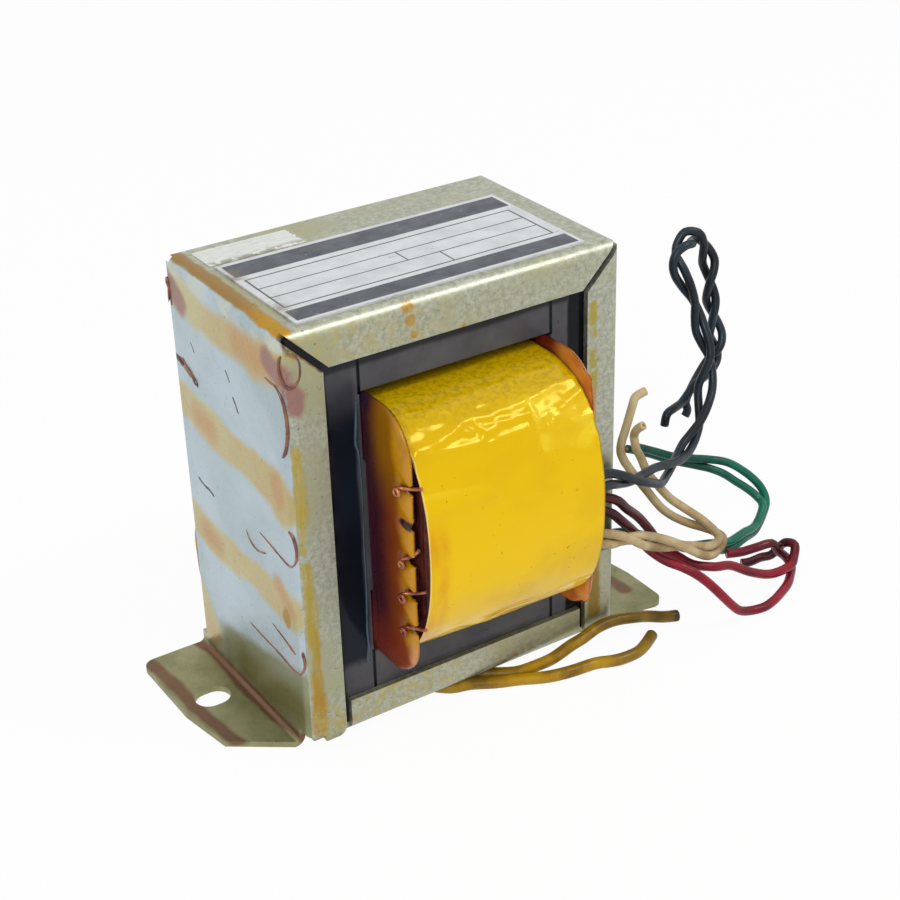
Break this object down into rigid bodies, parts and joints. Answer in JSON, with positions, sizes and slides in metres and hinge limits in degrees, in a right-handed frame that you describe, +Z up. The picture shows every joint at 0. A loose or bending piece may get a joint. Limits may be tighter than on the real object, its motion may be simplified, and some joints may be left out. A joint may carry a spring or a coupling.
{
  "type": "laminated chassis transformer",
  "caption": "Chassis transformer: EI core in a folded sheet frame with two slotted feet, taped coil on a bobbin and cut lead wires.",
  "frame": {"origin": "on the ground under the middle of the frame and coil", "axes": "+X along the coil's axis towards the cut leads, +Y along the lamination stack to the back, +Z up"},
  "size_m": [0.1106, 0.067, 0.0705],
  "materials": {
    "zinc_steel": "bright zinc, varnish-stained, satin",
    "core_varnish": "black impregnating varnish, glossy",
    "bobbin_amber": "amber-brown varnished moulding",
    "winding": "varnished enamelled wire, dark red-brown",
    "barrier": "varnished insulation paper",
    "wrap_paper": "varnished paper wrap, dark",
    "yellow_tape": "polyester film tape, glossy",
    "copper_wire": "enamelled copper",
    "label_metal": "printed foil label, satin",
    "sticker_paper": "torn white paper",
    "black_pvc": "PVC insulation, satin",
    "cream_pvc": "PVC insulation, satin",
    "green_pvc": "PVC insulation, satin",
    "red_pvc": "PVC insulation, satin",
    "yellow_pvc": "PVC insulation, satin"
  },
  "bodies": {
    "root": {"bracket": "zinc_steel", "bottom_channel": "zinc_steel", "e_laminations": "core_varnish", "i_laminations": "core_varnish", "bobbin": "bobbin_amber", "primary_winding": "winding", "winding_barrier": "barrier", "secondary_winding": "winding", "paper_wrap": "wrap_paper", "outer_tape": "yellow_tape", "tape_lap": "yellow_tape", "magnet_wires": "copper_wire", "nameplate": "label_metal", "sticker": "sticker_paper", "black_lead_a": "black_pvc", "black_lead_b": "black_pvc", "cream_lead_a": "cream_pvc", "cream_lead_b": "cream_pvc", "green_lead_a": "green_pvc", "green_lead_b": "green_pvc", "red_lead_a": "red_pvc", "red_lead_b": "red_pvc", "yellow_lead_a": "yellow_pvc", "yellow_lead_b": "yellow_pvc"}
  },
  "joints": []
}
